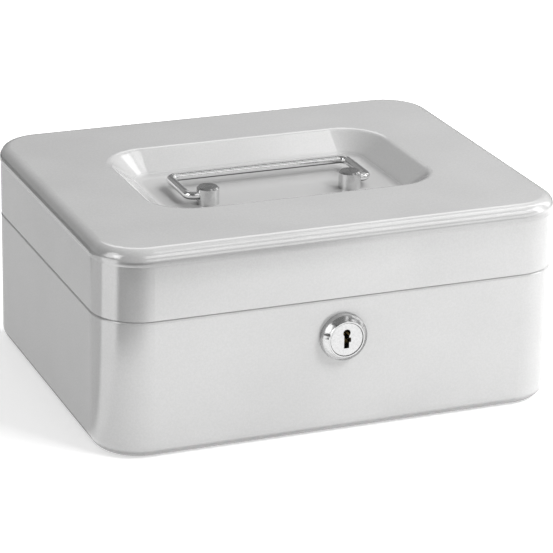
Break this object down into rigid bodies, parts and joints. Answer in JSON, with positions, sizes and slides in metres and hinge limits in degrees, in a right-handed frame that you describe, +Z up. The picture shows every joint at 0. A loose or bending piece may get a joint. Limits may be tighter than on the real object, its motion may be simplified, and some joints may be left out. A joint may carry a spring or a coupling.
{
  "type": "cash box",
  "caption": "Lockable pressed steel cash box with a hinged lid, a wire handle folded into a dished well, a cam lock in the front and a lift-out coin tray.",
  "frame": {"origin": "middle of the flat underside, between the case's four walls", "axes": "+X to the right across the width, +Y to the back where the hinges are, so that the lock faces -Y, and +Z up"},
  "size_m": [0.2006, 0.1665, 0.0884],
  "materials": {
    "paint": "satin pale grey paint",
    "chrome": "bright chrome plate",
    "zinc": "zinc plated steel",
    "brass": "stamped brass",
    "plastic": "fine textured black plastic"
  },
  "bodies": {
    "case": {"case_body": "paint", "hinge_left_case_leaf": "zinc", "hinge_left_pin": "zinc", "hinge_right_case_leaf": "zinc", "hinge_right_pin": "zinc", "lock_housing": "chrome", "lock_clip": "zinc", "ledge_left": "paint", "ledge_right": "paint"},
    "lid": {"lid": "paint", "hinge_left_lid_leaf": "zinc", "hinge_right_lid_leaf": "zinc", "catch_plate": "paint", "post_left": "chrome", "post_right": "chrome", "post_washer_left": "zinc", "post_washer_right": "zinc"},
    "handle": {"bail_handle": "chrome"},
    "lock_core": {"lock_plug": "chrome", "lock_wafers": "brass", "lock_cam": "zinc", "cam_washer": "zinc", "cam_screw": "zinc"},
    "tray": {"coin_tray": "plastic"}
  },
  "joints": [
    {"name": "lid_hinge", "type": "hinge", "parent": "case", "child": "lid", "pos_m": [0, 0.0796, 0.0588], "axis": [-1, 0, 0], "range_deg": [0, 97]},
    {"name": "handle_pivot", "type": "hinge", "parent": "lid", "child": "handle", "pos_m": [0, -0.0097, 0.0834], "axis": [1, 0, 0], "range_deg": [-5, 169]},
    {"name": "lock_turn", "type": "hinge", "parent": "case", "child": "lock_core", "pos_m": [0, -0.08, 0.0425], "axis": [0, 1, 0], "range_deg": [0, 90]},
    {"name": "tray_lift", "type": "slide", "parent": "case", "child": "tray", "axis": [0, 0, 1], "range_m": [0, 0.018]}
  ]
}
